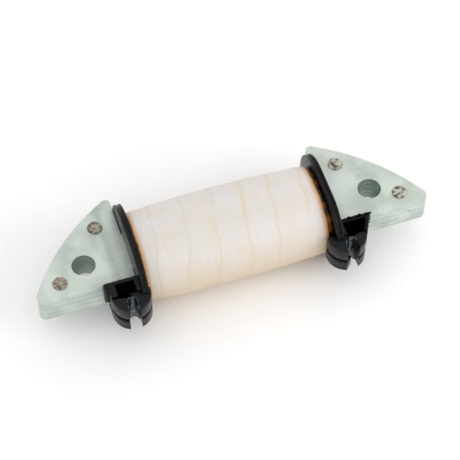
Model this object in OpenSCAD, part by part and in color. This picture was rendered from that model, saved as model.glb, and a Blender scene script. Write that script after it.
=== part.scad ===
// Ignition coil for a small engine's flywheel magneto, in millimetres.
// A riveted stack of thick steel plates carries a bobbin in two halves, a copper winding and a
// cotton tape wrap. Two bolts through the shoes hold the stack on the stator plate.
// X runs along the winding, +Y points at the flywheel magnets and +Z is up. The origin is midway
// between the two mounting holes, on the underside of the stack, which is the seating face.

/* [Core] */
// Distance between the two mounting holes
hole_spacing = 70; // [68:0.5:72]
// Diameter of each mounting hole
hole_d = 5.5; // [4.5:0.1:6]
// Thickness of one core plate
plate_t = 1.9; // [1.6:0.1:2]
// Radius of the curved pole faces
pole_r = 54.4; // [54:0.1:55.5]
// Distance from the hole line forward to the centre of the pole faces
pole_centre = 31.6; // [31:0.1:32]
// Distance from the hole line forward to the straight front edge
core_front = 6.9; // [6.5:0.1:7.2]
// Radius of the round at the front corner of each shoe
front_round = 1.6; // [1:0.1:2.4]
// Radius of the round at the back corner of each shoe
back_round = 1.2; // [0.6:0.1:2]
// Width of the leg that carries the winding
leg_w = 10; // [9:0.5:10.5]
// Distance from the hole line back to the middle of the leg
leg_y = 0.7; // [0.4:0.1:1]

/* [Rivets] */
// Diameter of a rivet's shank
rivet_d = 3.2; // [2.6:0.1:3.6]
// Diameter of a rivet's flattened head
rivet_head_d = 3.6; // [3.6:0.1:4.2]
// Height of a rivet's flattened head
rivet_head_t = 0.25; // [0.15:0.05:0.5]

/* [Bobbin] */
// Length of the winding space between the two flanges
winding_space = 45.4; // [44:0.2:46]
// Thickness of each flange
flange_t = 1.6; // [1.2:0.1:2]
// Depth of each flange from front to back
flange_w = 27; // [26.4:0.2:28]
// Height of each flange
flange_h = 21; // [20.8:0.2:23]
// Radius of the flange's large corners
flange_r = 9.5; // [8:0.5:10]
// Wall of the tube round the leg
tube_wall = 1.1; // [0.8:0.1:1.3]

/* [Terminal clips] */
// Distance from the middle of the coil to the left clip's round body
left_clip_x = 26.8; // [26:0.1:27.2]
// Distance from the middle of the coil to the right clip's round body
right_clip_x = 25.3; // [25:0.1:26]
// Distance from the hole line forward to the middle of each clip's round body
clip_front = 11.1; // [10.8:0.1:11.4]
// Outer radius of each clip
clip_r = 4.6; // [4.3:0.1:4.8]
// Radius of the bore that grips the lead
clip_bore_r = 1.4; // [1.2:0.1:1.6]
// Width of the slot in the front of each clip
slot_w = 2.8; // [2.2:0.1:2.8]
// How far the right clip's hook closes its slot
hook_reach = 1.5; // [0.6:0.1:1.6]
// Height of each clip above the seating face
clip_h = 8.1; // [7.8:0.1:8.4]
// Height of each terminal block above the core's top plate
block_rise = 1.1; // [0.8:0.1:1.6]

/* [Winding] */
// Half depth of the finished coil, over the tape
coil_half_y = 11.6; // [11.2:0.1:11.8]
// Half height of the finished coil, over the tape
coil_half_z = 9.9; // [9.6:0.1:10]
// How much slimmer the coil is at its ends than at its middle
barrel = 0.8; // [0.3:0.1:0.9]
// Thickness of the half-lapped cotton tape
tape_t = 0.4; // [0.3:0.05:0.5]
// Thickness of the varnished film under the tape
film_t = 0.2; // [0.1:0.05:0.25]

/* [Hidden] */

left = -1;
right = 1;
round_fn = 96;
pole_fn = 360;
coil_fn = 32;
tail_fn = 24;
slack = 0.1;        // clearance between neighbouring pieces that don't fit tightly
through = 1;        // how far a cutting shape runs past the face it cuts

// Core
core_t = 4 * plate_t;
core_mid_z = core_t / 2;
hole_x = hole_spacing / 2;
leg_place = [leg_y, core_mid_z];
corner_overlap = 0.005;     // lets each corner's round cross the pole arc cleanly
shoe_inner = winding_space / 2 + flange_t + slack;
back_corner = [
    shoe_inner + back_round,
    sqrt(pow(pole_r - back_round + corner_overlap, 2) - pow(shoe_inner + back_round, 2)) - pole_centre
];
front_corner = [
    sqrt(pow(pole_r - front_round + corner_overlap, 2) - pow(pole_centre - core_front + front_round, 2)),
    front_round - core_front
];
inner_rivet = [hole_x - 5.2, 9.2];      // behind the hole, towards the coil
outer_rivet = [hole_x + 6.4, -3.2];     // in front of the hole, towards the tip of the shoe

// Bobbin
flange_inner = winding_space / 2;
flange_outer = flange_inner + flange_t;
flange_place = [leg_y - 0.2, core_mid_z];
split_y = leg_y + 1.5;
rim_groove_x = flange_inner + 0.6;
rim_groove_w = 0.45;
rim_groove_depth = 0.4;
tube_half_y = leg_w / 2 + slack + tube_wall;
tube_half_z = core_mid_z + slack + tube_wall;

// Terminal blocks and clips, measured on the right-hand side
block_back = -core_front - slack;
block_top = core_t + block_rise;
tab_outer = flange_outer + 8.1;     // the tab that lies along the core's front edge
tab_t = 1.4;
tab_bottom = 2.6;
bore_offset = 0.25;     // how far outwards the bore sits from the middle of the clip
bore_y = -clip_front - 2.3;
hook_tip_y = bore_y - 0.6;
groove_z = 3.4;         // groove between the two tiers of a clip
groove_h = 0.8;
groove_depth = 0.5;
pocket_inner = flange_outer + 1;
pocket_outer = flange_outer + 5.5;
pocket_back = block_back - 0.9;
pocket_floor = 4.7;
pocket_wall = 0.6;
pocket_lean = 1.2;      // how far the right pocket's outer wall leans outwards at the back
sleeve_t = 0.35;
sleeve_proud = 0.5;     // how far each sleeve stands above its clip
sleeve_z = [0.2, clip_h + sleeve_proud];

// Layers of the coil, as [half depth, half height] at its middle
coil_place = [leg_y + 0.2, core_mid_z];
film_half = [coil_half_y - tape_t, coil_half_z - tape_t];
outer_winding_half = [film_half[0] - film_t, film_half[1] - film_t];
inner_build = [2.3, 2.1];       // how thick the inner winding is at the front and on top
inner_winding_half = [tube_half_y + inner_build[0], tube_half_z + inner_build[1]];
interlayer_half = [inner_winding_half[0] + film_t, inner_winding_half[1] + film_t];
winding_end = flange_inner - slack;
coil_room_y = coil_place[0] - coil_half_y + 0.2;     // the clips keep in front of this
tape_left_end = flange_inner - 0.2;
tape_right_end = flange_inner - 1.1;
coil_flat = 0.2;        // half height of the flat at the front and back of each layer
inner_corner_r = 3;
shoulder = 0.8;         // length over which the tape rounds off at each end
shoulder_drop = 0.3;

// Winding ends
tail_r = 0.25;
tail_sleeving_r = 0.5;
tail_y = -8.2;
tail_z = 0.7;
tail_groove_w = 2 * (tail_sleeving_r + slack);
tail_groove_top = tail_z + tail_groove_w / 2;

steel = "#c3cdc5";
rivet_steel = "#8d8a80";
black_nylon = "#141518";
copper = "#b4642c";
amber_film = "#c98a2e";
cotton = "#e8dfcf";
tinned_brass = "#b9bab4";
sleeving = "#d8c48a";

// ---- outlines and helpers ----

// Extrudes a (Y, Z) outline along X.
module across(from_x, to_x) {
    translate([from_x, 0, 0])
        rotate([90, 0, 90])
            linear_extrude(to_x - from_x)
                children();
}

module rounded_rect(size, r, fn = round_fn) {
    square([size[0] - 2 * r, size[1]], center = true);
    square([size[0], size[1] - 2 * r], center = true);
    for (sx = [-1, 1], sy = [-1, 1])
        translate([sx * (size[0] / 2 - r), sy * (size[1] / 2 - r)])
            circle(r, $fn = fn);
}

// Draws its children on the right-hand side, or mirrored on the left.
module on_side(side) {
    if (side == left)
        mirror([1, 0, 0])
            children();
    else
        children();
}

// The point on the far side of the pole arc from a place inside it.
function past_pole_arc(place) =
    let (from_centre = place + [0, pole_centre])
    from_centre * (pole_r + 1) / norm(from_centre) - [0, pole_centre];

// ---- core ----

module shoe_outline() {
    back_limit = past_pole_arc(back_corner);
    front_limit = past_pole_arc(front_corner);
    intersection() {
        translate([0, -pole_centre])
            circle(pole_r, $fn = pole_fn);
        polygon([
            [shoe_inner, -core_front],
            [shoe_inner, back_corner[1]],
            back_corner,
            back_limit,
            [front_limit[0], back_limit[1]],
            front_limit,
            front_corner,
            [front_corner[0], -core_front]
        ]);
    }
    translate(back_corner)
        circle(back_round, $fn = round_fn);
    translate(front_corner)
        circle(front_round, $fn = round_fn);
}

module plate_outline() {
    difference() {
        union() {
            translate([0, leg_y])
                square([2 * shoe_inner + slack, leg_w], center = true);
            for (side = [left, right])
                on_side(side)
                    shoe_outline();
        }
        for (side = [left, right])
            on_side(side) {
                translate([hole_x, 0])
                    circle(d = hole_d, $fn = round_fn);
                translate(inner_rivet)
                    circle(d = rivet_d, $fn = round_fn);
                translate(outer_rivet)
                    circle(d = rivet_d, $fn = round_fn);
            }
    }
}

module plate(level) {
    color(steel)
        translate([0, 0, level * plate_t])
            linear_extrude(plate_t)
                plate_outline();
}

module bottom_plate() { plate(0); }
module lower_middle_plate() { plate(1); }
module upper_middle_plate() { plate(2); }
module top_plate() { plate(3); }

module rivet(side, place) {
    color(rivet_steel)
        on_side(side)
            translate(place) {
                cylinder(h = core_t, d = rivet_d, $fn = round_fn);
                translate([0, 0, core_t])
                    cylinder(h = rivet_head_t, d = rivet_head_d, $fn = round_fn);
                translate([0, 0, -rivet_head_t])
                    cylinder(h = rivet_head_t, d = rivet_head_d, $fn = round_fn);
            }
}

module left_inner_rivet() { rivet(left, inner_rivet); }
module left_outer_rivet() { rivet(left, outer_rivet); }
module right_inner_rivet() { rivet(right, inner_rivet); }
module right_outer_rivet() { rivet(right, outer_rivet); }

// ---- bobbin ----

module flange_outline() {
    translate(flange_place)
        rounded_rect([flange_w, flange_h], flange_r);
}

module flange() {
    difference() {
        across(flange_inner, flange_outer)
            flange_outline();
        across(rim_groove_x, rim_groove_x + rim_groove_w)
            difference() {
                translate(flange_place)
                    square([flange_w + through, flange_h + through], center = true);
                translate(flange_place)
                    rounded_rect(
                        [flange_w - 2 * rim_groove_depth, flange_h - 2 * rim_groove_depth],
                        flange_r - rim_groove_depth
                    );
            }
    }
}

function clip_x(side) = side == left ? left_clip_x : right_clip_x;
function bore_x(side) = clip_x(side) + bore_offset;

// Plan of the pocket between the clip and the core. The right one's outer wall leans inwards.
function pocket_plan(side) = [
    [pocket_inner, -clip_front],
    [pocket_inner, pocket_back],
    [pocket_outer + (side == right ? pocket_lean : 0), pocket_back],
    [pocket_outer, -clip_front]
];

module clip_body(side) {
    translate([clip_x(side), -clip_front, 0])
        difference() {
            cylinder(h = clip_h, r = clip_r, $fn = round_fn);
            translate([0, 0, groove_z])
                difference() {
                    cylinder(h = groove_h, r = clip_r + through, $fn = round_fn);
                    translate([0, 0, -through])
                        cylinder(h = groove_h + 2 * through, r = clip_r - groove_depth, $fn = round_fn);
                }
        }
}

// What is left out of a block: the room for the coil's end, the pocket, the bore and the slot.
module terminal_hollows(side) {
    translate([0, coil_room_y, -through])
        cube([flange_inner, -coil_room_y, block_top + 2 * through]);
    translate([0, 0, pocket_floor])
        linear_extrude(block_top - pocket_floor + through)
            polygon(pocket_plan(side));
    translate([bore_x(side), bore_y, -through])
        cylinder(h = block_top + 2 * through, r = clip_bore_r, $fn = round_fn);
    translate([bore_x(side) - slot_w / 2, bore_y - clip_r, -through])
        cube([slot_w, clip_r, block_top + 2 * through]);
    // groove in the underside for the winding's end, from the flange to the bore
    translate([flange_outer, tail_y - tail_groove_w / 2, -through])
        cube([bore_x(side) + tail_groove_w / 2 - flange_outer, tail_groove_w, tail_groove_top + through]);
    translate([bore_x(side) - tail_groove_w / 2, bore_y, -through])
        cube([tail_groove_w, tail_y - bore_y, tail_groove_top + through]);
}

// The lower tier of the right clip ends in a hook that half closes the slot.
module hook() {
    slot_edge = bore_x(right) - slot_w / 2;
    linear_extrude(groove_z)
        polygon([
            [slot_edge - slack, hook_tip_y + hook_reach / 2],
            [slot_edge + hook_reach, hook_tip_y],
            [slot_edge - slack, hook_tip_y - hook_reach + slack]
        ]);
}

// The right block's outer wall leans from the end of the tab to the clip.
module leaning_wall() {
    translate([0, 0, tab_bottom])
        linear_extrude(block_top - tab_bottom)
            polygon([
                [pocket_outer - pocket_wall, block_back],
                [tab_outer, block_back],
                [right_clip_x + clip_r + pocket_wall / 2, -clip_front - pocket_wall],
                [pocket_outer - pocket_wall, -clip_front - pocket_wall]
            ]);
}

module terminal_block(side) {
    difference() {
        union() {
            clip_body(side);
            translate([flange_inner, -clip_front, 0])
                cube([
                    clip_x(side) + clip_r - flange_inner,
                    clip_front + block_back,
                    block_top
                ]);
            translate([flange_inner, block_back - tab_t, tab_bottom])
                cube([tab_outer - flange_inner, tab_t, block_top - tab_bottom]);
            if (side == right)
                leaning_wall();
        }
        terminal_hollows(side);
    }
    if (side == right)
        hook();
}

module bobbin() {
    difference() {
        union() {
            across(-flange_inner, flange_inner)
                translate(leg_place)
                    square([2 * tube_half_y, 2 * tube_half_z], center = true);
            for (side = [left, right])
                on_side(side) {
                    flange();
                    terminal_block(side);
                }
        }
        across(-flange_outer - through, flange_outer + through)
            translate(leg_place)
                square([leg_w + 2 * slack, core_t + 2 * slack], center = true);
        for (side = [left, right])
            on_side(side)
                translate([flange_inner - through, tail_y, tail_z])
                    rotate([0, 90, 0])
                        cylinder(
                            h = flange_t + 2 * through,
                            r = tail_sleeving_r,
                            $fn = round_fn
                        );
    }
}

// Everything in front of the plane where the two halves of the bobbin meet.
module front_space() {
    translate([-hole_spacing, split_y - hole_spacing, -hole_spacing])
        cube([2 * hole_spacing, hole_spacing, 2 * hole_spacing]);
}

module bobbin_front_half() {
    color(black_nylon)
        intersection() {
            bobbin();
            front_space();
        }
}

module bobbin_back_half() {
    color(black_nylon)
        difference() {
            bobbin();
            front_space();
        }
}

// ---- terminals ----

module terminal_sleeve(side) {
    color(tinned_brass)
        on_side(side)
            translate([bore_x(side), bore_y, sleeve_z[0]])
                difference() {
                    cylinder(h = sleeve_z[1] - sleeve_z[0], r = clip_bore_r, $fn = round_fn);
                    translate([0, 0, -through])
                        cylinder(h = block_top + 2 * through, r = clip_bore_r - sleeve_t, $fn = round_fn);
                    translate([-slot_w / 2, -clip_r, -through])
                        cube([slot_w, clip_r, block_top + 2 * through]);
                }
}

module left_terminal_sleeve() { terminal_sleeve(left); }
module right_terminal_sleeve() { terminal_sleeve(right); }

// A winding end: out through the flange, along the block's underside and forward to the sleeve.
module tail(side) {
    run = bore_x(side) - winding_end;
    reach = tail_y - bore_y - clip_bore_r;
    color(copper)
        on_side(side)
            translate([winding_end, tail_y, tail_z]) {
                rotate([0, 90, 0])
                    cylinder(h = run, r = tail_r, $fn = tail_fn);
                translate([run, 0, 0]) {
                    sphere(tail_r, $fn = tail_fn);
                    rotate([90, 0, 0])
                        cylinder(h = reach, r = tail_r, $fn = tail_fn);
                }
            }
}

module tail_sleeving(side) {
    color(sleeving)
        on_side(side)
            translate([flange_inner, tail_y, tail_z])
                rotate([0, 90, 0])
                    difference() {
                        cylinder(h = pocket_inner - flange_inner, r = tail_sleeving_r, $fn = tail_fn);
                        translate([0, 0, -through])
                            cylinder(h = clip_r + 2 * through, r = tail_r, $fn = tail_fn);
                    }
}

module start_tail() { tail(left); }
module finish_tail() { tail(right); }
module start_tail_sleeving() { tail_sleeving(left); }
module finish_tail_sleeving() { tail_sleeving(right); }

// ---- coil ----

module coil_section(half, corner_r) {
    translate(coil_place)
        rounded_rect([2 * half[0], 2 * half[1]], corner_r, coil_fn);
}

// How much slimmer the coil is at a given distance from its middle.
function slimmer(x) = barrel * pow(x / winding_end, 2);

// A solid barrel: the coil's section at stations along X, slimmer towards both ends.
module barrel_solid(half, from_x, to_x) {
    stations = 8;
    slice = 0.02;
    hull()
        for (i = [0:stations]) {
            x = from_x + (to_x - slice - from_x) * i / stations;
            across(x, x + slice)
                coil_section(
                    [half[0] - slimmer(x), half[1] - slimmer(x)],
                    half[1] - slimmer(x) - coil_flat
                );
        }
}

// The opening through a layer that is wound on the bobbin's tube or on the layer below it.
module straight_core(half, corner_r) {
    across(-flange_outer, flange_outer)
        coil_section(half, corner_r);
}

module inner_winding() {
    color(copper)
        across(-winding_end, winding_end)
            difference() {
                coil_section(inner_winding_half, inner_corner_r);
                translate(leg_place)
                    square([2 * tube_half_y, 2 * tube_half_z], center = true);
            }
}

module interlayer_film() {
    color(amber_film)
        across(-winding_end, winding_end)
            difference() {
                coil_section(interlayer_half, inner_corner_r + film_t);
                coil_section(inner_winding_half, inner_corner_r);
            }
}

module outer_winding() {
    color(copper)
        difference() {
            barrel_solid(outer_winding_half, -winding_end, winding_end);
            straight_core(interlayer_half, inner_corner_r + film_t);
        }
}

module film_wrap() {
    color(amber_film)
        difference() {
            barrel_solid(film_half, -winding_end, winding_end);
            barrel_solid(outer_winding_half, -winding_end, winding_end);
        }
}

module tape_wrap() {
    color(cotton)
        difference() {
            hull() {
                barrel_solid([coil_half_y, coil_half_z], -tape_left_end + shoulder, tape_right_end - shoulder);
                barrel_solid(
                    [coil_half_y - shoulder_drop, coil_half_z - shoulder_drop],
                    -tape_left_end,
                    tape_right_end
                );
            }
            barrel_solid(film_half, -winding_end, winding_end);
        }
}

top_plate();
upper_middle_plate();
lower_middle_plate();
bottom_plate();
left_inner_rivet();
left_outer_rivet();
right_inner_rivet();
right_outer_rivet();
bobbin_front_half();
bobbin_back_half();
inner_winding();
interlayer_film();
outer_winding();
film_wrap();
tape_wrap();
left_terminal_sleeve();
right_terminal_sleeve();
start_tail();
finish_tail();
start_tail_sleeving();
finish_tail_sleeving();
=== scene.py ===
"""Ignition coil for a small engine's flywheel magneto: looks, lights and camera."""

import math
import random

import bmesh
import bpy
from mathutils import Matrix, Vector, noise


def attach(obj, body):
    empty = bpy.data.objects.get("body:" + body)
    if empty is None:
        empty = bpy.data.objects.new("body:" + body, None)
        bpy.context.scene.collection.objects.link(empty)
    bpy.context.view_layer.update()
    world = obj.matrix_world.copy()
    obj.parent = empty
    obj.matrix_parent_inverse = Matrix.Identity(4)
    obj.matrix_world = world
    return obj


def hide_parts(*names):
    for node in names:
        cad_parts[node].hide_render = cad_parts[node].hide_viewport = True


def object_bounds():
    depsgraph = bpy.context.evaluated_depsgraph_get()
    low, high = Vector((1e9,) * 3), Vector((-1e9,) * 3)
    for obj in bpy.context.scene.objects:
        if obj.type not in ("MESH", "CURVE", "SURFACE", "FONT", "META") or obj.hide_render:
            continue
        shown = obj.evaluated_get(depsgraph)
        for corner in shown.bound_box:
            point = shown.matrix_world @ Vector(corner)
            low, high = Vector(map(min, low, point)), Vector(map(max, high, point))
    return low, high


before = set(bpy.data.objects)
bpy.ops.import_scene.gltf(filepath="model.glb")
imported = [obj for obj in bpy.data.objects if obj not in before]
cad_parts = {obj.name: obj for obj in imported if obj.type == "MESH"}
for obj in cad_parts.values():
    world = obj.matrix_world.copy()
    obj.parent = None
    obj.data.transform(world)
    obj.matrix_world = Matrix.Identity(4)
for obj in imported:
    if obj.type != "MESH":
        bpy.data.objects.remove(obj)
cad_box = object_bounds()

MM = 0.001
LEFT, RIGHT = -1, 1
FULL_TURN = 2 * math.pi

# ---- sizes in millimetres, as on the drawing ----

HOLE_X = 35.0
HOLE_R = 2.75
PLATE_T = 1.9
CORE_T = 4 * PLATE_T
CORE_MID = CORE_T / 2
POLE_R = 54.4
POLE_CENTRE = 31.6
CORE_FRONT = 6.9
FRONT_ROUND = 1.6
BACK_ROUND = 1.2
LEG_W = 10.0
LEG_Y = 0.7
SLACK = 0.1
TUCK = 0.03     # keeps the faces of volumes that run into each other apart
RIVET_R = 1.6
RIVET_HEAD_R = 1.8
RIVET_HEAD_T = 0.25
INNER_RIVET = (HOLE_X - 5.2, 9.2)
OUTER_RIVET = (HOLE_X + 6.4, -3.2)

FLANGE_INNER = 22.7
FLANGE_T = 1.6
FLANGE_OUTER = FLANGE_INNER + FLANGE_T
FLANGE_HALF_Y = 13.5
FLANGE_HALF_Z = 10.5
FLANGE_R = 9.5
RIM_GROOVE_X = FLANGE_INNER + 0.6
RIM_GROOVE_W = 0.45
RIM_GROOVE_DEPTH = 0.4
FLANGE_Y = LEG_Y - 0.2
SPLIT_Y = LEG_Y + 1.5
SHOE_INNER = FLANGE_OUTER + SLACK
WINDOW_HALF_Y = LEG_W / 2 + SLACK
WINDOW_HALF_Z = CORE_MID + SLACK
TUBE_WALL = 1.1

CLIP_X = {LEFT: 26.8, RIGHT: 25.3}
CLIP_FRONT = 11.1
CLIP_R = 4.6
BORE_R = 1.4
BORE_OUTWARDS = 0.25
BORE_Y = -CLIP_FRONT - 2.3
CLIP_TOP = 8.1
TIER_TOP = 3.4
TIER_GAP = 0.8
GROOVE_DEPTH = 0.5
BLOCK_BACK = -CORE_FRONT - SLACK
BLOCK_TOP = CORE_T + 1.1
TAB_OUTER = FLANGE_OUTER + 8.1
TAB_T = 1.4
TAB_BOTTOM = 2.6
POCKET_INNER = FLANGE_OUTER + 1
POCKET_OUTER = FLANGE_OUTER + 5.5
POCKET_BACK = BLOCK_BACK - 0.9
POCKET_FLOOR = 4.7
POCKET_LEAN = 1.2
HOOK_REACH = 1.5
SLEEVE_T = 0.35
SLEEVE_PROUD = 0.5
SLEEVE_BOTTOM = 0.2

COIL_Y = LEG_Y + 0.2
COIL_HALF_Y = 11.6
COIL_HALF_Z = 9.9
COIL_FLAT = 0.2
BARREL = 0.8
TAPE_T = 0.4
TAPE_PLY = 0.09
TAPE_PITCH = 7.3
TAPE_LAP_SHIFT = 1.8     # slides the pattern of laps along the coil
TAPE_WALL = 0.12
FILM_T = 0.2
FILM_SUNK = 0.05     # how far the film lies below its nominal surface
WINDING_END = FLANGE_INNER - SLACK
TAPE_LEFT = -(FLANGE_INNER - 0.2)
TAPE_RIGHT = FLANGE_INNER - 1.1
TAIL_Y = -8.2
TAIL_Z = 0.7
TAIL_R = 0.25
TAIL_BEND = 0.8
TAIL_SLEEVING_R = 0.5
TAIL_GROOVE_HALF = TAIL_SLEEVING_R + SLACK
TAIL_GROOVE_TOP = TAIL_Z + TAIL_GROOVE_HALF

# where the painted reflection of the black flange lies on the left shoe
FLANGE_REFLECTION_X = SHOE_INNER + 4
THREAD_PITCH = 0.5     # as drawn on the tape
TURN_PITCH = 0.4     # as drawn on the windings

CAMERA_TURN = 18.05     # degrees to the left of straight in front
CAMERA_TILT = 55.8     # degrees above level
CAMERA_DISTANCE = 394
CAMERA_AIM = (0.347, -0.858)     # rightwards and upwards in view, from midway between the holes
CAMERA_LENS = 132.3
CAMERA_SENSOR = 36


# ---- making meshes ----

def finished(bm, name, material, replaced, smooth_below=35):
    """Turns a bmesh in millimetres into a piece of the coil that stands for a CAD node."""
    bmesh.ops.scale(bm, vec=(MM, MM, MM), verts=bm.verts)
    mesh = bpy.data.meshes.new(name)
    bm.to_mesh(mesh)
    bm.free()
    mesh.materials.append(material)
    mesh.set_sharp_from_angle(angle=math.radians(smooth_below))
    piece = bpy.data.objects.new(name, mesh)
    bpy.context.scene.collection.objects.link(piece)
    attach(piece, "root")
    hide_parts(replaced)
    return piece


def join(bm, part):
    """Adds a finished part to the mesh of a piece."""
    mesh = bpy.data.meshes.new("part")
    part.to_mesh(mesh)
    part.free()
    bm.from_mesh(mesh)
    bpy.data.meshes.remove(mesh)


def of_kind(geometry, kind):
    return [item for item in geometry if isinstance(item, kind)]


def face_from(bm, outline, axis="Z", level=0.0):
    """One flat face across the named axis: X takes (y, z) points, and Z takes (x, y) points."""
    if axis == "X":
        places = [(level, a, b) for a, b in outline]
    else:
        places = [(a, b, level) for a, b in outline]
    return bm.faces.new([bm.verts.new(place) for place in places])


def holed_face(bm, loops, level):
    """Flat faces between an outline and the holes in it."""
    edges = []
    for loop in loops:
        verts = [bm.verts.new((x, y, level)) for x, y in loop]
        edges += [bm.edges.new(pair) for pair in zip(verts, verts[1:] + verts[:1])]
    made = bmesh.ops.triangle_fill(bm, use_beauty=True, use_dissolve=False, edges=edges)
    return of_kind(made["geom"], bmesh.types.BMFace)


def extruded(bm, faces, way):
    """Extrudes faces by a vector and returns the faces at the far end."""
    grown = bmesh.ops.extrude_face_region(bm, geom=faces)["geom"]
    bmesh.ops.translate(bm, vec=way, verts=of_kind(grown, bmesh.types.BMVert))
    return of_kind(grown, bmesh.types.BMFace)


def rounded_end(bm, faces, radius, steps):
    """Rounds the rim of an end by insetting it in steps that follow a quarter circle."""
    reached_in, reached_up = 0.0, 0.0
    for step in range(1, steps + 1):
        turn = step / steps * math.pi / 2
        inwards = radius * (1 - math.cos(turn))
        upwards = radius * math.sin(turn)
        bmesh.ops.inset_region(
            bm,
            faces=faces,
            thickness=inwards - reached_in,
            depth=upwards - reached_up,
            use_even_offset=True,
        )
        reached_in, reached_up = inwards, upwards


def slab(bm, outline, low, high, axis="Z", rim=0.15, steps=2, corner=0.0, holes=()):
    """A plate of one outline from low to high, with rounded rims and, if asked, rounded corners."""
    along = Vector((1, 0, 0)) if axis == "X" else Vector((0, 0, 1))
    part = bmesh.new()
    if holes:
        start = holed_face(part, [outline, *holes], low + rim)
    else:
        start = [face_from(part, outline, axis, low + rim)]
    extruded(part, start, along * (high - low - 2 * rim))
    bmesh.ops.recalc_face_normals(part, faces=part.faces)
    if corner:
        upright = [
            edge for edge in part.edges
            if abs((edge.verts[1].co - edge.verts[0].co).normalized().dot(along)) > 0.99
            and edge.calc_face_angle(0) > math.radians(25)
        ]
        bmesh.ops.bevel(
            part,
            geom=upright,
            offset=corner,
            segments=3,
            profile=0.5,
            affect="EDGES",
            material=-1,
        )
    if rim:
        for way in (along, -along):
            end = [face for face in part.faces if face.normal.dot(way) > 0.99]
            rounded_end(part, end, rim, steps)
    join(bm, part)


def lathe(bm, profile, centre, steps=36):
    """A solid turned from (radius, height) points that start and end on the axis."""
    part = bmesh.new()
    verts = [part.verts.new((radius, 0, height)) for radius, height in profile]
    edges = [part.edges.new(pair) for pair in zip(verts, verts[1:])]
    bmesh.ops.spin(
        part,
        geom=verts + edges,
        cent=(0, 0, 0),
        axis=(0, 0, 1),
        angle=FULL_TURN,
        steps=steps,
        use_merge=True,
    )
    bmesh.ops.remove_doubles(part, verts=part.verts, dist=0.001)
    bmesh.ops.recalc_face_normals(part, faces=part.faces)
    bmesh.ops.translate(part, vec=(*centre, 0), verts=part.verts)
    join(bm, part)


def arc(centre, radius, start, end, count):
    """Points along an arc, from one angle to another in degrees."""
    angles = [math.radians(start + (end - start) * i / count) for i in range(count + 1)]
    return [(centre[0] + radius * math.cos(a), centre[1] + radius * math.sin(a)) for a in angles]


def circle(centre, radius, count=40):
    return arc(centre, radius, 0, 360, count)[:-1]


def evenly(outline, count):
    """The same closed outline as evenly spaced points."""
    sides = list(zip(outline, outline[1:] + outline[:1]))
    spacing = sum(math.dist(a, b) for a, b in sides) / count
    points = []
    walked = 0.0
    for a, b in sides:
        length = math.dist(a, b)
        while len(points) < count and len(points) * spacing < walked + length:
            share = (len(points) * spacing - walked) / length
            points.append((a[0] + (b[0] - a[0]) * share, a[1] + (b[1] - a[1]) * share))
        walked += length
    return points


def mirrored(outline, side):
    """An outline drawn for the right-hand side, on the side asked for."""
    if side == RIGHT:
        return outline
    return [(-x, y) for x, y in reversed(outline)]


# ---- core ----

def half_core_outline():
    """The right-hand half of a plate's outline, from the front of the leg round to its back."""
    back = (
        SHOE_INNER + BACK_ROUND,
        math.sqrt((POLE_R - BACK_ROUND) ** 2 - (SHOE_INNER + BACK_ROUND) ** 2) - POLE_CENTRE,
    )
    front = (
        math.sqrt((POLE_R - FRONT_ROUND) ** 2 - (POLE_CENTRE - CORE_FRONT + FRONT_ROUND) ** 2),
        FRONT_ROUND - CORE_FRONT,
    )
    front_angle, back_angle = (
        math.degrees(math.atan2(y + POLE_CENTRE, x)) for x, y in (front, back)
    )
    pole = arc((0, -POLE_CENTRE), POLE_R, front_angle, back_angle, 48)
    return (
        [(SHOE_INNER, LEG_Y - LEG_W / 2), (SHOE_INNER, -CORE_FRONT)]
        + arc(front, FRONT_ROUND, -90, front_angle, 10)
        + pole[1:-1]
        + arc(back, BACK_ROUND, back_angle, 180, 10)
        + [(SHOE_INNER, LEG_Y + LEG_W / 2)]
    )


def make_plate(name, level, material):
    right_half = half_core_outline()
    outline = right_half + mirrored(right_half, LEFT)
    holes = []
    for side in (LEFT, RIGHT):
        holes.append(circle((side * HOLE_X, 0), HOLE_R, 56))
        for x, y in (INNER_RIVET, OUTER_RIVET):
            holes.append(circle((side * x, y), RIVET_R, 28))
    bm = bmesh.new()
    slab(bm, outline, level * PLATE_T, (level + 1) * PLATE_T, rim=0.16, holes=holes)
    return finished(bm, name + "_blanked", material, name)


def make_rivet(name, side, place, material):
    """A shank with each end hammered to a flat, ragged head with a shallow dish in it."""
    top = CORE_T + RIVET_HEAD_T
    head = [(0, -0.1), (0.7, -0.08), (1.15, -0.01), (1.5, 0), (RIVET_HEAD_R, -0.12)]
    profile = [(radius, top + drop) for radius, drop in head]
    profile += [(RIVET_HEAD_R, CORE_T + 0.02), (RIVET_R - TUCK, CORE_T - 0.02)]
    profile += [(radius, CORE_T - height) for radius, height in reversed(profile)]
    centre = (side * place[0], place[1])
    bm = bmesh.new()
    lathe(bm, profile, centre, steps=48)
    for vert in bm.verts:
        out = Vector((vert.co.x - centre[0], vert.co.y - centre[1], 0))
        if out.length > RIVET_R:
            ragged = abs(noise.noise(vert.co * 1.6))
            vert.co -= out.normalized() * 0.3 * ragged
        elif vert.co.z > CORE_T + 0.05 or vert.co.z < -0.05:
            vert.co.z -= 0.05 * abs(noise.noise(vert.co * 1.2)) * math.copysign(1, vert.co.z)
    return finished(bm, name + "_peened", material, name)


# ---- bobbin ----

def flange_outline(half, shrink):
    """Front (-1) or back (+1) half of a flange, with its half of the window for the leg."""
    arc_y = FLANGE_Y + half * (FLANGE_HALF_Y - FLANGE_R)
    rise = FLANGE_HALF_Z - FLANGE_R
    radius = FLANGE_R - shrink
    low, side, top = (-90, -180, -270) if half < 0 else (-90, 0, 90)
    rim = arc((arc_y, CORE_MID - rise), radius, low, side, 24)
    rim += arc((arc_y, CORE_MID + rise), radius, side, top, 24)
    half_z = FLANGE_HALF_Z - shrink
    return [(SPLIT_Y, CORE_MID - half_z)] + rim + [(SPLIT_Y, CORE_MID + half_z)] + window(half)


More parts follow.
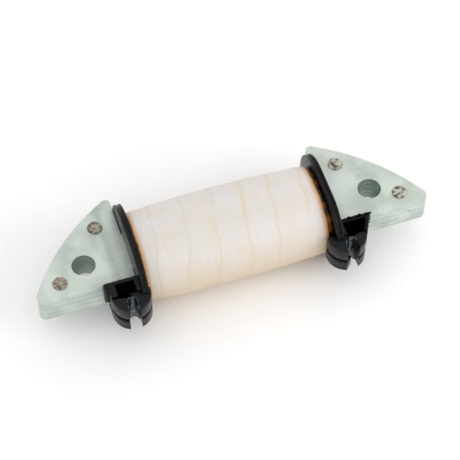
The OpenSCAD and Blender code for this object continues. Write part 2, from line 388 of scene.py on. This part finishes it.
def window(half):
    """The edge of one half's cut-out for the leg, from the top of the joint to its bottom."""
    side = LEG_Y + half * WINDOW_HALF_Y
    low, top = CORE_MID - WINDOW_HALF_Z, CORE_MID + WINDOW_HALF_Z
    return [(SPLIT_Y, top), (side, top), (side, low), (SPLIT_Y, low)]


def tube_outline(half):
    side = LEG_Y + half * (WINDOW_HALF_Y + TUBE_WALL)
    half_z = WINDOW_HALF_Z + TUBE_WALL
    low, top = CORE_MID - half_z, CORE_MID + half_z
    return [(SPLIT_Y, low), (side, low), (side, top), (SPLIT_Y, top)] + window(half)


def add_flange(bm, side, half):
    """Two ribs round the rim, with a groove between them."""
    for near, far, shrink, rim in (
        (FLANGE_INNER, RIM_GROOVE_X, 0.0, 0.14),
        (FLANGE_INNER + 0.2, FLANGE_OUTER - 0.15, RIM_GROOVE_DEPTH, 0.0),
        (RIM_GROOVE_X + RIM_GROOVE_W, FLANGE_OUTER, 0.0, 0.12),
    ):
        low, high = sorted((side * near, side * far))
        slab(bm, flange_outline(half, shrink), low, high, axis="X", rim=rim, steps=3)


def add_rim_flash(bm, side, half):
    """Small torn specks of flash on the outer rib."""
    draw = random.Random(10 + 3 * side + half)
    rim = flange_outline(half, 0.0)[1:51]
    for _ in range(16):
        y, z = draw.choice(rim)
        size = draw.uniform(0.1, 0.22)
        speck = bmesh.ops.create_icosphere(bm, subdivisions=1, radius=size)["verts"]
        bmesh.ops.scale(bm, vec=(0.7, 1.3, draw.uniform(0.6, 1.1)), verts=speck)
        sunk = 1 - size / math.hypot(y - FLANGE_Y, z - CORE_MID)
        place = (
            side * (FLANGE_OUTER - draw.uniform(0.2, 0.5)),
            FLANGE_Y + (y - FLANGE_Y) * sunk,
            CORE_MID + (z - CORE_MID) * sunk,
        )
        bmesh.ops.translate(bm, vec=place, verts=speck)


def clip_edges(side, shrink):
    """The outer and inner edges of one tier of a clip. Each meets the slot and the clip's back."""
    x = CLIP_X[side]
    radius = CLIP_R - shrink
    back = -CLIP_FRONT + SLACK
    outer_lip, inner_lip = (
        -math.degrees(math.acos((BORE_OUTWARDS + edge) / radius)) for edge in (BORE_R, -BORE_R)
    )
    outer = arc((x, -CLIP_FRONT), radius, outer_lip, 0, 12) + [(x + radius, back)]
    inner = [
        (FLANGE_INNER + SLACK, back),
        (FLANGE_INNER + SLACK, -CLIP_FRONT + 0.6),
        (x - radius, -CLIP_FRONT + 0.6),
    ]
    return outer, inner + arc((x, -CLIP_FRONT), radius, -180, inner_lip, 12)


def clip_outline(side, shrink):
    """Plan of one tier of a clip: round in front, with the slot and the bore behind it."""
    outer, inner = clip_edges(side, shrink)
    return outer + inner + arc((CLIP_X[side] + BORE_OUTWARDS, BORE_Y), BORE_R, 180, 0, 20)


def clip_feet(side):
    """Plans of the clip's lowest layer, which the groove for the tail cuts in two."""
    bore = (CLIP_X[side] + BORE_OUTWARDS, BORE_Y)
    back = -CLIP_FRONT + SLACK
    cut = math.degrees(math.acos(TAIL_GROOVE_HALF / BORE_R))
    outer, inner = clip_edges(side, 0.0)
    return (
        outer + [(bore[0] + TAIL_GROOVE_HALF, back)] + arc(bore, BORE_R, cut, 0, 8),
        [(bore[0] - TAIL_GROOVE_HALF, back)] + inner + arc(bore, BORE_R, 180, 180 - cut, 8),
    )


def add_clip(bm, side):
    rim = 0.2
    upper = TIER_TOP + TIER_GAP
    for outline in clip_feet(side):
        slab(bm, mirrored(outline, side), 0.0, TAIL_GROOVE_TOP + 2 * rim, rim=rim, steps=3)
    for low, high, shrink, tier_rim in (
        (TAIL_GROOVE_TOP, TIER_TOP, 0.0, rim),
        (TIER_TOP - 0.3, upper + 0.3, GROOVE_DEPTH, 0.0),
        (upper, CLIP_TOP, 0.0, rim),
    ):
        outline = mirrored(clip_outline(side, shrink), side)
        slab(bm, outline, low, high, rim=tier_rim, steps=3)


def add_hook(bm):
    """The beak that half closes the right-hand slot, in the lower tier."""
    edge = CLIP_X[RIGHT] + BORE_OUTWARDS - BORE_R
    root = edge - 0.6
    tip_y = BORE_Y - 0.6
    outline = [
        (root, tip_y + HOOK_REACH / 2),
        (edge, tip_y + HOOK_REACH / 2),
        (edge + HOOK_REACH, tip_y),
        (edge, tip_y - HOOK_REACH),
        (root, tip_y - HOOK_REACH),
    ]
    slab(bm, outline, TUCK, TIER_TOP - TUCK, rim=0.2, steps=3, corner=0.25)


def wall_outline(side):
    """Plan of the walls round three sides of a pocket. The right one's outer wall leans."""
    if side == RIGHT:
        lean = POCKET_LEAN
        outer = [(POCKET_OUTER + 0.4, -CLIP_FRONT - 0.6), (TAB_OUTER, BLOCK_BACK)]
    else:
        lean = 0.0
        body = CLIP_X[side] + CLIP_R
        outer = [(body, -CLIP_FRONT), (body, BLOCK_BACK)]
    return (
        [
            (FLANGE_INNER, -CLIP_FRONT),
            (POCKET_INNER, -CLIP_FRONT),
            (POCKET_INNER, POCKET_BACK),
            (POCKET_OUTER + lean, POCKET_BACK),
            (POCKET_OUTER, -CLIP_FRONT),
        ]
        + outer
        + [(FLANGE_INNER, BLOCK_BACK)]
    )


def box_outline(x0, y0, x1, y1):
    return [(x0, y0), (x1, y0), (x1, y1), (x0, y1)]


def block_feet(side):
    """Plans of the block's lowest layer, behind and in front of the groove for the tail."""
    front, back = -CLIP_FRONT - SLACK, BLOCK_BACK - TUCK
    body = CLIP_X[side] + CLIP_R - TUCK
    bore_x = CLIP_X[side] + BORE_OUTWARDS
    behind = TAIL_Y + TAIL_GROOVE_HALF
    beside = bore_x + TAIL_GROOVE_HALF
    return (
        [
            (FLANGE_OUTER, behind),
            (beside, behind),
            (beside, front),
            (body, front),
            (body, back),
            (FLANGE_OUTER, back),
        ],
        box_outline(FLANGE_OUTER, front, bore_x - TAIL_GROOVE_HALF, TAIL_Y - TAIL_GROOVE_HALF),
    )


def add_block(bm, side):
    rim = 0.15
    body = CLIP_X[side] + CLIP_R
    for outline in block_feet(side):
        slab(bm, mirrored(outline, side), TUCK, TAIL_GROOVE_TOP + 2 * rim, rim=rim)
    base = box_outline(FLANGE_INNER, -CLIP_FRONT - SLACK, body - TUCK, BLOCK_BACK - TUCK)
    slab(bm, mirrored(base, side), TAIL_GROOVE_TOP, POCKET_FLOOR, rim=rim)
    slab(bm, mirrored(wall_outline(side), side), TAB_BOTTOM, BLOCK_TOP, rim=0.18, steps=3)
    if side == LEFT:
        tab = box_outline(body - 0.5, BLOCK_BACK - TAB_T, TAB_OUTER, BLOCK_BACK - TUCK)
        slab(bm, mirrored(tab, side), TAB_BOTTOM, BLOCK_TOP, rim=0.25, steps=3, corner=0.4)


def add_flash(bm, start, end, count, height):
    """Torn flash along the top of a block's wall, from one (x, y) place to another."""
    draw = random.Random(4)
    for i in range(count):
        x, y = Vector(start).lerp(Vector(end), i / (count - 1))
        tooth = bmesh.ops.create_icosphere(bm, subdivisions=2, radius=1)["verts"]
        size = (draw.uniform(0.4, 0.8), 0.28, height * draw.uniform(0.4, 1.0))
        bmesh.ops.scale(bm, vec=size, verts=tooth)
        for vert in tooth:
            vert.co += Vector([draw.uniform(-0.06, 0.06) for _ in range(3)])
        bmesh.ops.translate(bm, vec=(x, y, BLOCK_TOP - 0.1), verts=tooth)


def make_bobbin_half(half, name, material):
    bm = bmesh.new()
    tube_end = FLANGE_INNER + 0.2
    slab(bm, tube_outline(half), -tube_end, tube_end, axis="X", rim=0)
    for side in (LEFT, RIGHT):
        add_flange(bm, side, half)
        add_rim_flash(bm, side, half)
        if half < 0:
            add_clip(bm, side)
            add_block(bm, side)
    if half < 0:
        add_hook(bm)
        back = BLOCK_BACK - 0.3
        corner = (TAB_OUTER - 0.2, back)
        add_flash(bm, (POCKET_INNER, back), corner, count=9, height=1.1)
        add_flash(bm, corner, (POCKET_OUTER + 0.2, -CLIP_FRONT), count=6, height=0.6)
        add_flash(bm, (-POCKET_INNER, back), (-TAB_OUTER + 1, back), count=5, height=0.35)
    return finished(bm, name + "_moulded", material, name, smooth_below=40)


# ---- terminals and winding ends ----

def make_sleeve(side, name, material):
    """A strip rolled to a C, standing a little proud of the clip."""
    centre = (CLIP_X[side] + BORE_OUTWARDS, BORE_Y)
    outline = arc(centre, BORE_R - TUCK, 0, 180, 24)
    outline += arc(centre, BORE_R - SLEEVE_T, 180, 0, 24)
    bm = bmesh.new()
    slab(bm, mirrored(outline, side), SLEEVE_BOTTOM, CLIP_TOP + SLEEVE_PROUD, rim=0.1)
    return finished(bm, name + "_rolled", material, name)


def make_tail(side, name, material):
    """Enamelled wire: out past the flange, a bend, and forward to the back of the sleeve.

    The moulded flange has no hole for it here, so the wire and its sleeving run through solid."""
    run = CLIP_X[side] + BORE_OUTWARDS - TAIL_BEND - WINDING_END
    bend_y = TAIL_Y - TAIL_BEND
    bm = bmesh.new()
    start = face_from(bm, circle((TAIL_Y, TAIL_Z), TAIL_R, 12), "X", WINDING_END)
    corner = extruded(bm, [start], (run, 0, 0))
    turned = bmesh.ops.spin(
        bm,
        geom=corner,
        cent=(WINDING_END + run, bend_y, TAIL_Z),
        axis=(0, 0, -1),
        angle=math.pi / 2,
        steps=6,
    )["geom_last"]
    extruded(bm, of_kind(turned, bmesh.types.BMFace), (0, BORE_Y + BORE_R - bend_y, 0))
    inside = [face for face in bm.faces if all(len(edge.link_faces) > 2 for edge in face.edges)]
    bmesh.ops.delete(bm, geom=inside, context="FACES_ONLY")
    bmesh.ops.scale(bm, vec=(side, 1, 1), verts=bm.verts)
    bmesh.ops.recalc_face_normals(bm, faces=bm.faces)
    return finished(bm, name + "_bent", material, name)


def make_sleeving(side, name, material):
    """A short tube of braid round the tail, from the flange to the pocket."""
    rings = 10
    length = POCKET_INNER - FLANGE_INNER
    bm = bmesh.new()
    faces = [face_from(bm, circle((TAIL_Y, TAIL_Z), TAIL_SLEEVING_R, 20), "X", FLANGE_INNER)]
    for _ in range(rings):
        faces = extruded(bm, faces, (length / rings, 0, 0))
    caps = [face for face in bm.faces if len(face.verts) > 4]
    bmesh.ops.delete(bm, geom=caps, context="FACES_ONLY")
    bmesh.ops.scale(bm, vec=(side, 1, 1), verts=bm.verts)
    bmesh.ops.recalc_face_normals(bm, faces=bm.faces)
    piece = finished(bm, name + "_braided", material, name)
    thicken(piece, TAIL_SLEEVING_R - TAIL_R - TUCK)
    return piece


def thicken(piece, wall_mm):
    """Gives an open skin its wall, on the inside."""
    wall = piece.modifiers.new("wall", "SOLIDIFY")
    wall.thickness = wall_mm * MM
    wall.offset = -1


# ---- coil ----

def coil_skin(half_y, half_z, low, high, rings, around):
    """An open tube with the coil's oval section, along X."""
    radius = half_z - COIL_FLAT
    reach = half_y - radius
    oval = []
    for sign_y, sign_z, start in ((1, -1, -90), (1, 1, 0), (-1, 1, 90), (-1, -1, 180)):
        centre = (COIL_Y + sign_y * reach, CORE_MID + sign_z * COIL_FLAT)
        oval += arc(centre, radius, start, start + 90, 32)
    bm = bmesh.new()
    faces = [face_from(bm, evenly(oval, around), "X", low)]
    for _ in range(rings):
        faces = extruded(bm, faces, ((high - low) / rings, 0, 0))
    caps = [face for face in bm.faces if len(face.verts) > 4]
    bmesh.ops.delete(bm, geom=caps, context="FACES_ONLY")
    bmesh.ops.recalc_face_normals(bm, faces=bm.faces)
    bm.normal_update()
    return bm


def slimmer(x):
    """How much slimmer the coil is at a given distance from its middle."""
    return BARREL * (x / WINDING_END) ** 2


def push_out(bm, height):
    """Moves each vertex along its normal by a height worked out from its place."""
    moves = [vert.normal * height(vert) for vert in bm.verts]
    for vert, move in zip(bm.verts, moves):
        vert.co += move


def make_tape(material):
    """Half-lapped tape: each turn covers half of the one before and ends in a small step."""
    bm = coil_skin(COIL_HALF_Y, COIL_HALF_Z, TAPE_LEFT, TAPE_RIGHT, rings=176, around=136)
    lap_edge = bm.verts.layers.float.new("lap")

    def height(vert):
        x, y, z = vert.co
        angle = math.atan2(z - CORE_MID, y - COIL_Y)
        round_coil = Vector((0.09 * x, 1.7 * math.cos(angle), 1.7 * math.sin(angle)))
        wander = 0.13 * noise.noise(round_coil)
        turn = ((x + TAPE_LAP_SHIFT) / TAPE_PITCH + angle / FULL_TURN + wander) % 1.0
        strength = 0.5 + noise.noise(Vector((0.3 * x, 0.11 * y, 0.11 * z)))
        vert[lap_edge] = strength * max(0.0, 1 - turn / 0.12, 1 - (1 - turn) / 0.06)
        step = TAPE_PLY * (1 - turn) * min(1.0, turn / 0.05)
        crease = 0.05 * noise.noise(Vector((1.1 * x, 0.16 * y, 0.16 * z)))
        sag = 0.35 * math.exp(-(((x + 14.5) / 5) ** 2)) * max(0.0, -math.sin(angle + 0.5))
        to_end = min(x - TAPE_LEFT, TAPE_RIGHT - x)
        rolled = 0.12 * max(0.0, 1 - to_end / 0.9) ** 2
        return step + crease + sag - TAPE_PLY - slimmer(x) - rolled

    push_out(bm, height)
    for vert in bm.verts:
        to_end = min(vert.co.x - TAPE_LEFT, TAPE_RIGHT - vert.co.x)
        frayed = noise.noise(Vector((vert.co.x, 0.8 * vert.co.y, 0.8 * vert.co.z)))
        vert.co.x += 0.18 * frayed * math.exp(-to_end / 0.7)
    piece = finished(bm, "tape_wrap_lapped", material, "tape_wrap", smooth_below=60)
    thicken(piece, TAPE_WALL)
    return piece


def make_film(material):
    """Film under the tape, slightly puckered, with its edges showing beside the flanges."""
    half_y, half_z = COIL_HALF_Y - TAPE_T, COIL_HALF_Z - TAPE_T
    bm = coil_skin(half_y, half_z, -WINDING_END, WINDING_END, rings=90, around=96)
    push_out(bm, lambda vert: 0.05 * noise.noise(vert.co * 0.7) - FILM_SUNK - slimmer(vert.co.x))
    piece = finished(bm, "film_wrap_puckered", material, "film_wrap", 60)
    thicken(piece, FILM_T - FILM_SUNK)
    return piece


# ---- materials ----

def colour(hex_code):
    """An sRGB hex colour as the linear values that a shader takes."""
    channels = [int(hex_code[i:i + 2], 16) / 255 for i in (1, 3, 5)]
    linear = [c / 12.92 if c <= 0.04045 else ((c + 0.055) / 1.055) ** 2.4 for c in channels]
    return (*linear, 1)


def grey(value):
    return (value, value, value, 1)


def add(tree, kind, settings=None, sockets=None, stops=None):
    """Adds a node. Each socket takes a value, or another node's output as a link."""
    node = tree.nodes.new("ShaderNode" + kind)
    for key, value in (settings or {}).items():
        setattr(node, key, value)
    for key, value in (sockets or {}).items():
        if isinstance(value, bpy.types.NodeSocket):
            tree.links.new(value, node.inputs[key])
        else:
            node.inputs[key].default_value = value
    for element, (position, value) in zip(node.color_ramp.elements if stops else (), stops or ()):
        element.position = position
        element.color = value
    return node


def new_material(name):
    """A material with no nodes but its coordinates, which are the object's own in millimetres."""
    material = bpy.data.materials.new(name)
    material.use_nodes = True
    tree = material.node_tree
    tree.nodes.clear()
    metres = add(tree, "TexCoord").outputs["Object"]
    place = add(tree, "VectorMath", {"operation": "SCALE"}, {0: metres, "Scale": 1 / MM})
    return material, tree, place.outputs[0]


def zinc_plated_steel():
    """Blanked strip with a bright zinc plate: pale, cloudy green-grey, with a few brown stains."""
    material, tree, place = new_material("strip steel, blanked and zinc plated")
    clouds = add(tree, "TexNoise", None, {"Vector": place, "Scale": 1 / 6, "Detail": 5.0})
    mottle = add(tree, "ValToRGB", None, {"Fac": clouds.outputs["Fac"]},
                 ((0.35, colour("#b9c4bb")), (0.62, colour("#d2dad2"))))
    spots = add(tree, "TexNoise", None, {"Vector": place, "Scale": 1 / 1.6, "Detail": 4.0})
    stained = add(tree, "ValToRGB", None, {"Fac": spots.outputs["Fac"]},
                  ((0.66, grey(0)), (0.78, grey(0.45))))
    tint = add(tree, "Mix", {"data_type": "RGBA"},
               {0: stained.outputs["Color"], 6: mottle.outputs["Color"], 7: colour("#8c8368")})
    # painted shade: the walls of the bolt holes are darkened to a deeper green, as shade falls
    # inside them
    axes = add(tree, "SeparateXYZ", None, {0: place})
    out = add(tree, "Math", {"operation": "ABSOLUTE"}, {0: axes.outputs["X"]})
    from_hole = add(tree, "Math", {"operation": "SUBTRACT"}, {0: out.outputs[0], 1: HOLE_X})
    across = add(tree, "CombineXYZ", None, {"X": from_hole.outputs[0], "Y": axes.outputs["Y"]})
    radius = add(tree, "VectorMath", {"operation": "LENGTH"}, {0: across.outputs[0]})
    hole_shade_mask = add(tree, "MapRange", None, {
        "Value": radius.outputs["Value"],
        "From Min": HOLE_R + 0.06,
        "From Max": HOLE_R + 0.01,
        "To Max": 0.45,
    })
    hole_shaded = add(tree, "Mix", {"data_type": "RGBA"},
                 {0: hole_shade_mask.outputs["Result"], 6: tint.outputs[2], 7: colour("#7fa08c")})
    # painted reflection: a soft, darker band crosses the left shoe, where the black flange shows in
    # the plate
    from_band = add(tree, "Math", {"operation": "ADD"}, {0: axes.outputs["X"], 1: FLANGE_REFLECTION_X})
    off_band = add(tree, "Math", {"operation": "ABSOLUTE"}, {0: from_band.outputs[0]})
    reflection_mask = add(tree, "MapRange", None,
                 {"Value": off_band.outputs[0], "From Min": 1.5, "From Max": 0.2, "To Max": 0.4})
    with_reflection = add(tree, "Mix", {"data_type": "RGBA"},
                 {0: reflection_mask.outputs["Result"], 6: hole_shaded.outputs[2], 7: colour("#8fa192")})
    polish = add(tree, "MapRange", None,
                 {"Value": clouds.outputs["Fac"], "To Min": 0.42, "To Max": 0.6})
    # rolling lines run along the strip
    strip = add(tree, "Mapping", None, {"Vector": place, "Scale": (0.12, 3.0, 2.2)})
    lines = add(tree, "TexNoise", None,
                {"Vector": strip.outputs["Vector"], "Scale": 1.0, "Detail": 4.0})
    relief = add(tree, "Bump", None,
                 {"Strength": 0.5, "Distance": 0.04 * MM, "Height": lines.outputs["Fac"]})
    shader = add(tree, "BsdfPrincipled", None, {
        "Metallic": 0.75,
        "Base Color": with_reflection.outputs[2],
        "Roughness": polish.outputs["Result"],
        "Normal": relief.outputs["Normal"],
    })
    add(tree, "OutputMaterial", None, {"Surface": shader.outputs["BSDF"]})
    return material


def hammered_steel():
    """Bare rivets hammered flat: dull grey, darker in the dents, with some rust."""
    material, tree, place = new_material("mild steel, hammered and left bare")
    dents = add(tree, "TexNoise", None, {"Vector": place, "Scale": 1 / 0.9, "Detail": 4.0})
    tones = add(tree, "ValToRGB", None, {"Fac": dents.outputs["Fac"]},
                ((0.38, colour("#4a453c")), (0.6, colour("#c2c1b4"))))
    # the rust is heaviest on the left outer rivet and fades out towards the right
    axes = add(tree, "SeparateXYZ", None, {0: place})
    rust = add(tree, "MapRange", None, {
        "Value": axes.outputs["X"],
        "From Min": -OUTER_RIVET[0],
        "From Max": INNER_RIVET[0],
        "To Min": 0.45,
        "To Max": 0.0,
    })
    rusty = add(tree, "Mix", {"data_type": "RGBA"},
                {0: rust.outputs["Result"], 6: tones.outputs["Color"], 7: colour("#6b4a30")})
    relief = add(tree, "Bump", None,
                 {"Strength": 0.9, "Distance": 0.12 * MM, "Height": dents.outputs["Fac"]})
    shader = add(tree, "BsdfPrincipled", None, {
        "Metallic": 0.6,
        "Base Color": rusty.outputs[2],
        "Roughness": 0.5,
        "Normal": relief.outputs["Normal"],
    })
    add(tree, "OutputMaterial", None, {"Surface": shader.outputs["BSDF"]})
    return material


def black_nylon():
    """Glass-filled nylon as it left the mould: near black and glossy, with a slight ripple."""
    material, tree, place = new_material("glass-filled nylon, moulded")
    cast = add(tree, "TexNoise", None, {"Vector": place, "Scale": 1 / 2.5, "Detail": 3.0})
    tone = add(tree, "ValToRGB", None, {"Fac": cast.outputs["Fac"]},
               ((0.35, colour("#030405")), (0.7, colour("#0b0e12"))))
    polish = add(tree, "MapRange", None,
                 {"Value": cast.outputs["Fac"], "To Min": 0.16, "To Max": 0.38})
    ripple = add(tree, "TexNoise", None, {"Vector": place, "Scale": 1 / 0.8, "Detail": 3.0})
    relief = add(tree, "Bump", None,
                 {"Strength": 0.5, "Distance": 0.06 * MM, "Height": ripple.outputs["Fac"]})
    shader = add(tree, "BsdfPrincipled", None, {
        "Specular IOR Level": 0.22,
        "Base Color": tone.outputs["Color"],
        "Roughness": polish.outputs["Result"],
        "Normal": relief.outputs["Normal"],
    })
    add(tree, "OutputMaterial", None, {"Surface": shader.outputs["BSDF"]})
    return material


def cotton_tape():
    """Cotton tape, half-lapped and varnished: cream, yellower at each lap, and darker and yellower
    underneath in painted shade with some dirt.
    """
    material, tree, place = new_material("cotton tape, wound and varnished")
    patches = add(tree, "TexNoise", None, {"Vector": place, "Scale": 1 / 7, "Detail": 3.0})
    cream = add(tree, "ValToRGB", None, {"Fac": patches.outputs["Fac"]},
                ((0.35, colour("#d7d3d2")), (0.75, colour("#d7cec1"))))
    lengthways = add(tree, "Mapping", None, {"Vector": place, "Scale": (1 / 0.9, 1 / 9, 1 / 9)})
    streaks = add(tree, "TexNoise", None,
                  {"Vector": lengthways.outputs["Vector"], "Scale": 1.0, "Detail": 3.0})
    streaky = add(tree, "ValToRGB", None, {"Fac": streaks.outputs["Fac"]},
                  ((0.5, grey(0)), (0.8, grey(0.35))))
    warm = add(tree, "Mix", {"data_type": "RGBA"},
               {0: streaky.outputs["Color"], 6: cream.outputs["Color"], 7: colour("#dccba6")})
    lap = add(tree, "Attribute", {"attribute_name": "lap"})
    fade = add(tree, "Math", {"operation": "MULTIPLY"}, {0: lap.outputs["Fac"], 1: 0.5})
    lapped = add(tree, "Mix", {"data_type": "RGBA"},
                 {0: fade.outputs[0], 6: warm.outputs[2], 7: colour("#d9bf8c")})
    height = add(tree, "SeparateXYZ", None, {0: place})
    # painted shade, with some dirt: the tape is darker and yellower towards the bottom
    low = add(tree, "MapRange", None,
              {"Value": height.outputs["Z"], "From Min": 11.0, "From Max": -6.0})
    shade_and_dirt_below = add(tree, "Mix", {"data_type": "RGBA"},
               {0: low.outputs["Result"], 6: lapped.outputs[2], 7: colour("#c6a877")})
    # the tape turns amber towards both of its ends
    along = add(tree, "Math", {"operation": "SUBTRACT"},
                {0: height.outputs["X"], 1: (TAPE_LEFT + TAPE_RIGHT) / 2})
    from_middle = add(tree, "Math", {"operation": "ABSOLUTE"}, {0: along.outputs[0]})
    length = (TAPE_RIGHT - TAPE_LEFT) / 2
    near_end = add(tree, "MapRange", None, {
        "Value": from_middle.outputs[0],
        "From Min": length - 1.4,
        "From Max": length - 0.2,
        "To Max": 0.8,
    })
    edged = add(tree, "Mix", {"data_type": "RGBA"},
                {0: near_end.outputs["Result"], 6: shade_and_dirt_below.outputs[2], 7: colour("#dd9424")})
    # threads across the tape
    threads = add(tree, "TexWave", {"bands_direction": "X"},
                  {"Vector": place, "Scale": FULL_TURN / 20 / THREAD_PITCH, "Distortion": 0.6})
    relief = add(tree, "Bump", None,
                 {"Strength": 0.12, "Distance": 0.05 * MM, "Height": threads.outputs["Fac"]})
    shader = add(tree, "BsdfPrincipled", None, {
        "Base Color": edged.outputs[2],
        "Roughness": 0.55,
        "Sheen Weight": 0.15,
        "Normal": relief.outputs["Normal"],
    })
    add(tree, "OutputMaterial", None, {"Surface": shader.outputs["BSDF"]})
    return material


def varnished_film():
    """Polyester film under baked varnish: glossy amber, darker where the varnish gathered."""
    material, tree, place = new_material("polyester film, wound and varnished")
    runs = add(tree, "TexNoise", None, {"Vector": place, "Scale": 1 / 3, "Detail": 3.0})
    amber = add(tree, "ValToRGB", None, {"Fac": runs.outputs["Fac"]},
                ((0.4, colour("#2a1606")), (0.7, colour("#9a5c18"))))
    relief = add(tree, "Bump", None,
                 {"Strength": 0.4, "Distance": 0.08 * MM, "Height": runs.outputs["Fac"]})
    shader = add(tree, "BsdfPrincipled", None, {
        "Base Color": amber.outputs["Color"],
        "Roughness": 0.2,
        "Coat Weight": 0.4,
        "Normal": relief.outputs["Normal"],
    })
    add(tree, "OutputMaterial", None, {"Surface": shader.outputs["BSDF"]})
    return material


def enamelled_copper():
    """Enamelled wire laid turn by turn: copper brown, with a darker line between turns."""
    material, tree, place = new_material("copper wire, enamelled and wound")
    turns = add(tree, "TexWave", {"bands_direction": "X"},
                {"Vector": place, "Scale": FULL_TURN / 20 / TURN_PITCH})
    brown = add(tree, "ValToRGB", None, {"Fac": turns.outputs["Fac"]},
                ((0.1, colour("#5e2a12")), (0.8, colour("#b4642c"))))
    relief = add(tree, "Bump", None,
                 {"Strength": 0.8, "Distance": 0.06 * MM, "Height": turns.outputs["Fac"]})
    shader = add(tree, "BsdfPrincipled", None, {
        "Metallic": 0.9,
        "Base Color": brown.outputs["Color"],
        "Roughness": 0.32,
        "Normal": relief.outputs["Normal"],
    })
    add(tree, "OutputMaterial", None, {"Surface": shader.outputs["BSDF"]})
    return material


def tinned_brass():
    """Tin-plated brass strip, rolled and tarnished: dark grey, bright only where it is scuffed."""
    material, tree, place = new_material("brass strip, tinned, rolled and tarnished")
    scuffs = add(tree, "TexNoise", None, {"Vector": place, "Scale": 1 / 0.6, "Detail": 4.0})
    tone = add(tree, "ValToRGB", None, {"Fac": scuffs.outputs["Fac"]},
               ((0.4, colour("#14181b")), (0.72, colour("#7d868a"))))
    polish = add(tree, "MapRange", None,
                 {"Value": scuffs.outputs["Fac"], "To Min": 0.25, "To Max": 0.45})
    relief = add(tree, "Bump", None,
                 {"Strength": 0.5, "Distance": 0.03 * MM, "Height": scuffs.outputs["Fac"]})
    shader = add(tree, "BsdfPrincipled", None, {
        "Metallic": 1.0,
        "Base Color": tone.outputs["Color"],
        "Roughness": polish.outputs["Result"],
        "Normal": relief.outputs["Normal"],
    })
    add(tree, "OutputMaterial", None, {"Surface": shader.outputs["BSDF"]})
    return material


def braided_sleeving():
    """Glass-fibre sleeving, varnished: straw yellow, with the diagonal lines of its braid."""
    material, tree, place = new_material("glass-fibre sleeving, braided and varnished")
    braid = add(tree, "TexWave", {"bands_direction": "DIAGONAL"},
                {"Vector": place, "Scale": FULL_TURN / 20 / 0.3})
    straw = add(tree, "ValToRGB", None, {"Fac": braid.outputs["Fac"]},
                ((0.2, colour("#b89b5e")), (0.8, colour("#e3d2a2"))))
    relief = add(tree, "Bump", None,
                 {"Strength": 0.6, "Distance": 0.05 * MM, "Height": braid.outputs["Fac"]})
    shader = add(tree, "BsdfPrincipled", None, {
        "Base Color": straw.outputs["Color"],
        "Roughness": 0.5,
        "Normal": relief.outputs["Normal"],
    })
    add(tree, "OutputMaterial", None, {"Surface": shader.outputs["BSDF"]})
    return material


def white_board():
    """The board that the coil stands on: matt white paint with hardly any variation."""
    material, tree, place = new_material("board, painted matt white")
    coats = add(tree, "TexNoise", None, {"Vector": place, "Scale": 1 / 40})
    white = add(tree, "ValToRGB", None, {"Fac": coats.outputs["Fac"]},
                ((0.3, colour("#f8f8f8")), (0.7, colour("#fbfbfb"))))
    shader = add(tree, "BsdfPrincipled", None,
                 {"Base Color": white.outputs["Color"], "Roughness": 0.9})
    add(tree, "OutputMaterial", None, {"Surface": shader.outputs["BSDF"]})
    return material


# ---- camera, lights and floor ----

def softbox(name, place, size, watts):
    """A square lamp that faces the coil."""
    light = bpy.data.lights.new(name, "AREA")
    light.size = size
    light.energy = watts
    lamp = bpy.data.objects.new(name, light)
    lamp.location = place
    lamp.rotation_euler = (-Vector(place)).to_track_quat("-Z", "Y").to_euler()
    bpy.context.scene.collection.objects.link(lamp)


def studio(material):
    bpy.ops.mesh.primitive_plane_add(size=3, location=(0, 0, cad_box[0].z))
    floor = bpy.context.object
    floor.name = "floor"
    floor.data.materials.append(material)
    world = bpy.data.worlds.new("studio")
    world.use_nodes = True
    world.node_tree.nodes["Background"].inputs["Color"].default_value = grey(1)
    world.node_tree.nodes["Background"].inputs["Strength"].default_value = 1.0
    bpy.context.scene.world = world
    softbox("right_softbox", (0.30, -0.22, 0.20), size=0.22, watts=0.5)
    bpy.context.scene.view_settings.view_transform = "Standard"


def set_camera():
    """A long lens, looking down on the coil from the front and a little from the left."""
    turn, tilt = math.radians(CAMERA_TURN), math.radians(CAMERA_TILT)
    right = Vector((math.cos(turn), -math.sin(turn), 0))
    back = Vector((
        -math.sin(turn) * math.cos(tilt),
        -math.cos(turn) * math.cos(tilt),
        math.sin(tilt),
    ))
    up = back.cross(right)
    aim = Vector((0, 0, CORE_T)) + CAMERA_AIM[0] * right + CAMERA_AIM[1] * up
    camera = bpy.data.cameras.new("camera")
    camera.lens = CAMERA_LENS
    camera.sensor_width = CAMERA_SENSOR
    seat = bpy.data.objects.new("camera", camera)
    seat.matrix_world = Matrix((right, up, back)).transposed().to_4x4()
    seat.location = (aim + CAMERA_DISTANCE * back) * MM
    bpy.context.scene.collection.objects.link(seat)
    bpy.context.scene.camera = seat


# ---- the coil ----

steel = zinc_plated_steel()
bare_steel = hammered_steel()
nylon = black_nylon()
copper = enamelled_copper()
film = varnished_film()
tin = tinned_brass()
braid = braided_sleeving()

for level, word in enumerate(("bottom", "lower_middle", "upper_middle", "top")):
    make_plate(word + "_plate", level, steel)
for side, word in ((LEFT, "left"), (RIGHT, "right")):
    make_rivet(word + "_inner_rivet", side, INNER_RIVET, bare_steel)
    make_rivet(word + "_outer_rivet", side, OUTER_RIVET, bare_steel)
    make_sleeve(side, word + "_terminal_sleeve", tin)
for side, word in ((LEFT, "start"), (RIGHT, "finish")):
    make_tail(side, word + "_tail", copper)
    make_sleeving(side, word + "_tail_sleeving", braid)
make_bobbin_half(-1, "bobbin_front_half", nylon)
make_bobbin_half(1, "bobbin_back_half", nylon)
make_film(film)
make_tape(cotton_tape())
for name, material in (
    ("inner_winding", copper),
    ("interlayer_film", film),
    ("outer_winding", copper),
):
    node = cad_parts[name]
    node.data.materials.clear()
    node.data.materials.append(material)

studio(white_board())
set_camera()
